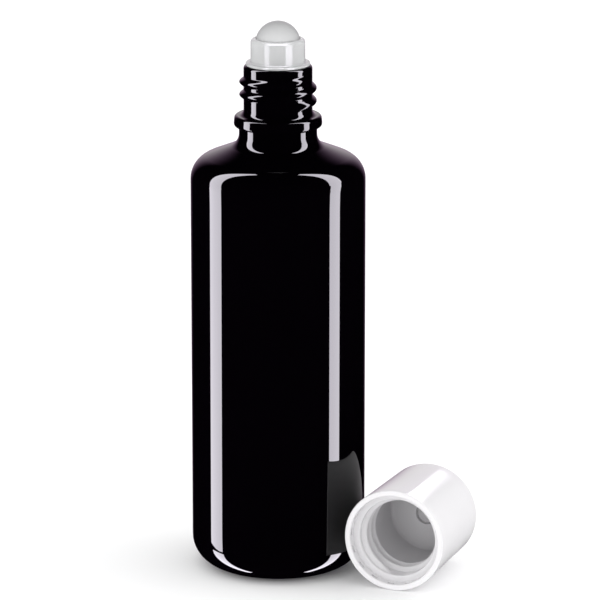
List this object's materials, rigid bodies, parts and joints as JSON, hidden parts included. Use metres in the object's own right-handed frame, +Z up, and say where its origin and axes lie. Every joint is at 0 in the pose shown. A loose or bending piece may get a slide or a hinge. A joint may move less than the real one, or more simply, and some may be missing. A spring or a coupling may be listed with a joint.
{
  "type": "roll-on bottle",
  "caption": "Tall round black glass bottle with a screw neck, a snap-in housing that holds a roller ball, and a plain white screw cap lying on its side beside it.",
  "frame": {"origin": "centre of the ring that the bottle stands on, at the level of the table", "axes": "+Z up along the bottle's axis, +X towards the cap that lies beside it, with the cap's mouth towards -Y"},
  "size_m": [0.0655, 0.0408, 0.1306],
  "materials": {
    "black_glass": "polished, so dark a violet that it looks black",
    "natural_plastic": "natural, slightly see-through, glossy",
    "ball_plastic": "grey, satin",
    "white_plastic": "white, glossy"
  },
  "bodies": {
    "bottle": {"bottle": "black_glass", "ball_housing": "natural_plastic"},
    "ball": {"roller_ball": "ball_plastic"},
    "cap": {"screw_cap": "white_plastic"}
  },
  "joints": [
    {"name": "ball_spin", "type": "hinge", "parent": "bottle", "child": "ball", "pos_m": [0, 0, 0.12537], "axis": [1, 0, 0], "continuous": true},
    {"name": "cap_lift", "type": "slide", "parent": "bottle", "child": "cap", "axis": [0, 0, 1], "range_m": [0, 0.15]}
  ]
}
